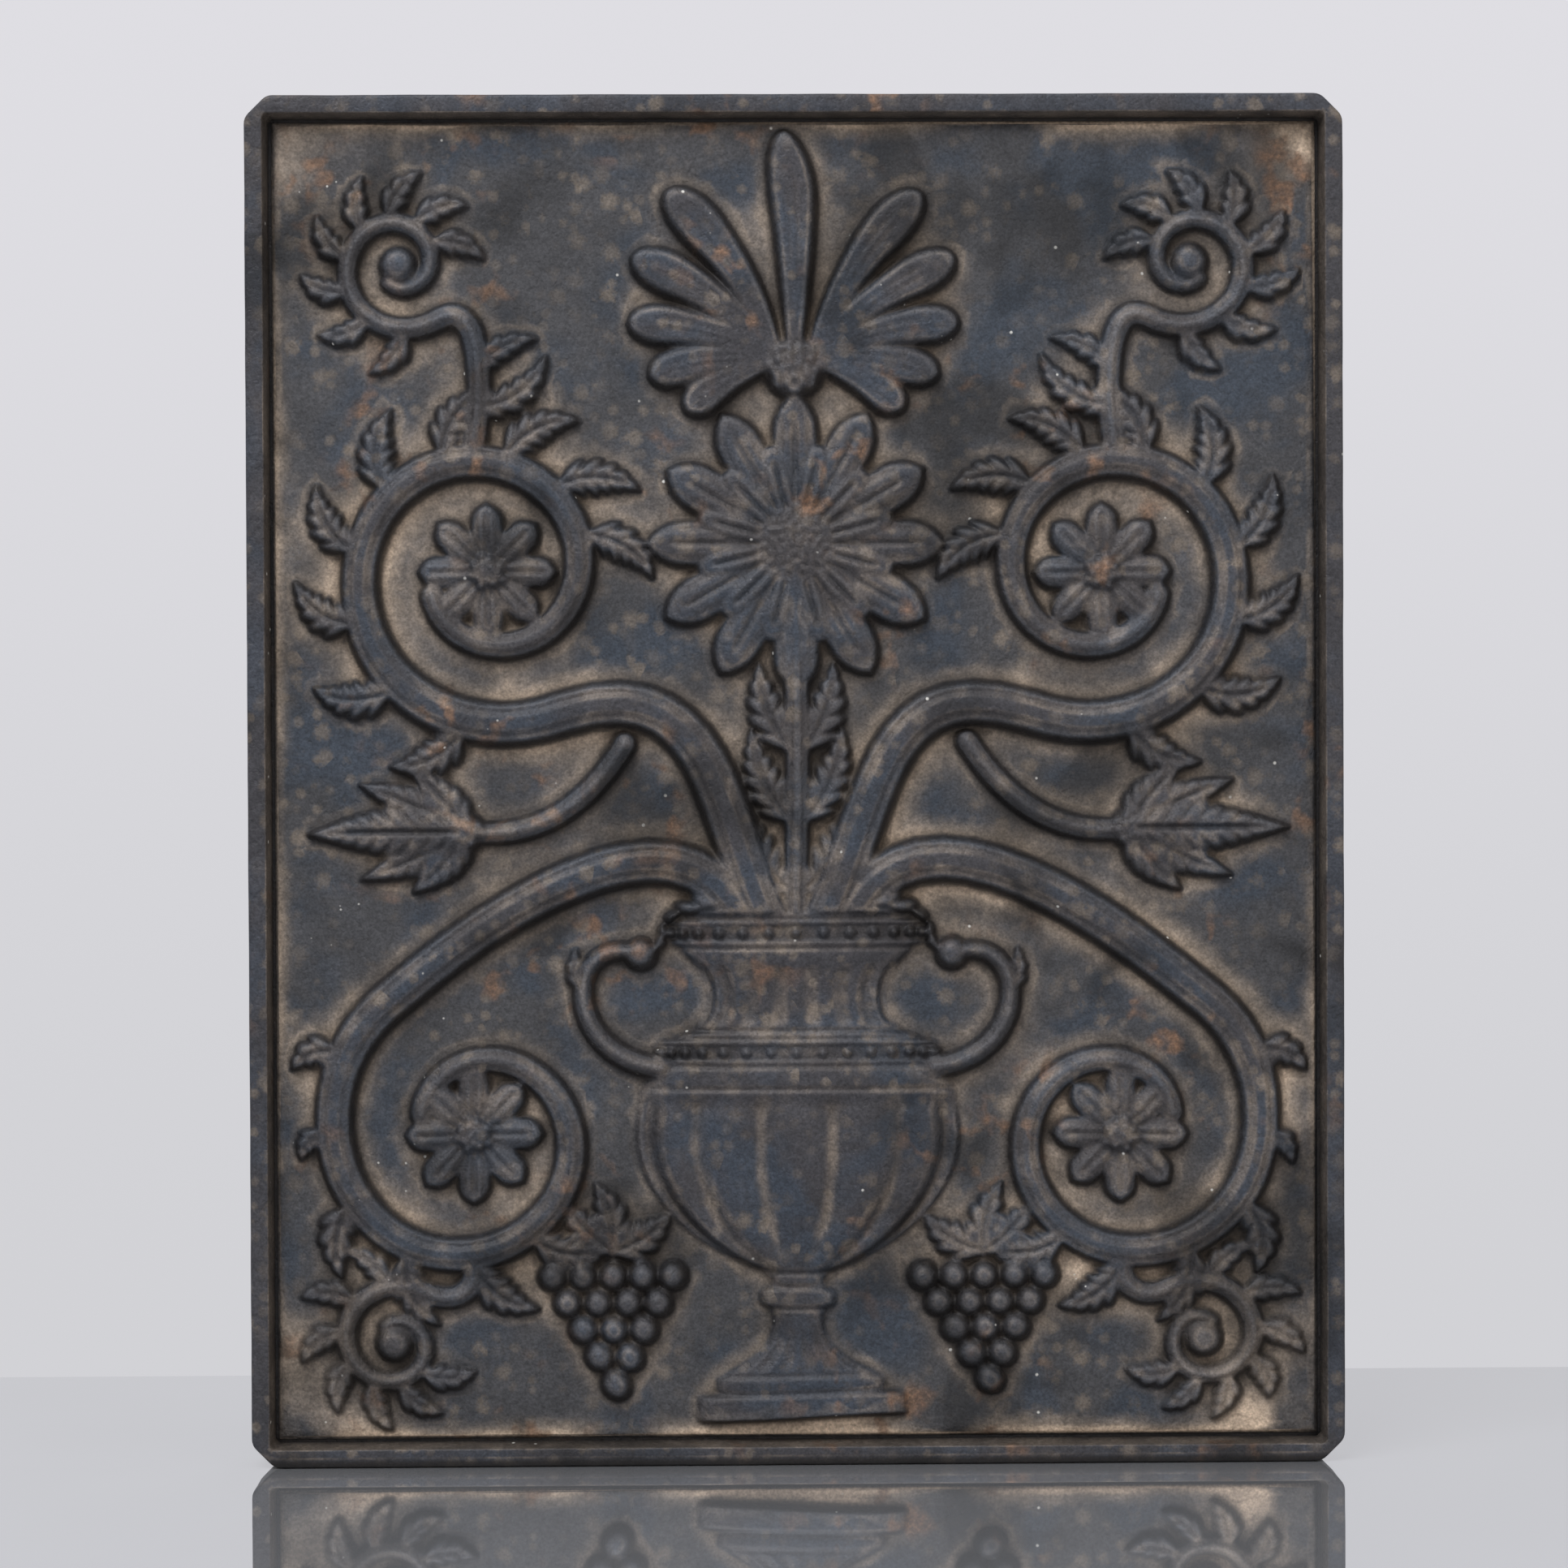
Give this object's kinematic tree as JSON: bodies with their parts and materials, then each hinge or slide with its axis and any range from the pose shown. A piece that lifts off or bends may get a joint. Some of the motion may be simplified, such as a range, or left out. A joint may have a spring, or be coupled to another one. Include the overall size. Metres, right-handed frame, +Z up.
{
  "type": "fireback",
  "caption": "Upright rectangular cast-iron fireback: a heavy relief plate clipped into a deep bevelled border, standing on folding rear feet.",
  "frame": {"origin": "middle of the border's bottom face, which the fireback stands on, halfway through the border's depth", "axes": "+X to the viewer's right when facing the relief, +Y away from the viewer through the plate to its back, +Z up"},
  "size_m": [0.4, 0.157, 0.5],
  "materials": {
    "border_iron": "dark cast surface with fine sand grain",
    "relief_iron": "weathered cast surface, beige dust in the hollows, faint rust",
    "foot_iron": "plain as-cast surface",
    "clip_steel": "browned by heat",
    "fixing_steel": "browned by heat"
  },
  "bodies": {
    "plate": {"border_frame": "border_iron", "relief_plate": "relief_iron", "clip_top": "clip_steel", "clip_washer_top": "fixing_steel", "clip_bolt_top": "fixing_steel", "clip_bottom": "clip_steel", "clip_washer_bottom": "fixing_steel", "clip_bolt_bottom": "fixing_steel", "clip_right_lower": "clip_steel", "clip_washer_right_lower": "fixing_steel", "clip_bolt_right_lower": "fixing_steel", "clip_right_upper": "clip_steel", "clip_washer_right_upper": "fixing_steel", "clip_bolt_right_upper": "fixing_steel", "clip_left_lower": "clip_steel", "clip_washer_left_lower": "fixing_steel", "clip_bolt_left_lower": "fixing_steel", "clip_left_upper": "clip_steel", "clip_washer_left_upper": "fixing_steel", "clip_bolt_left_upper": "fixing_steel", "hinge_pin_left": "fixing_steel", "thrust_washer_left": "fixing_steel", "split_pin_left": "fixing_steel", "hinge_pin_right": "fixing_steel", "thrust_washer_right": "fixing_steel", "split_pin_right": "fixing_steel"},
    "left_foot": {"foot_left": "foot_iron"},
    "right_foot": {"foot_right": "foot_iron"}
  },
  "joints": [
    {"name": "left_foot_hinge", "type": "hinge", "parent": "plate", "child": "left_foot", "pos_m": [-0.14, 0.026, 0.09], "axis": [0, 0, 1], "range_deg": [-90, 0]},
    {"name": "right_foot_hinge", "type": "hinge", "parent": "plate", "child": "right_foot", "pos_m": [0.14, 0.026, 0.09], "axis": [0, 0, 1], "range_deg": [0, 90]}
  ]
}
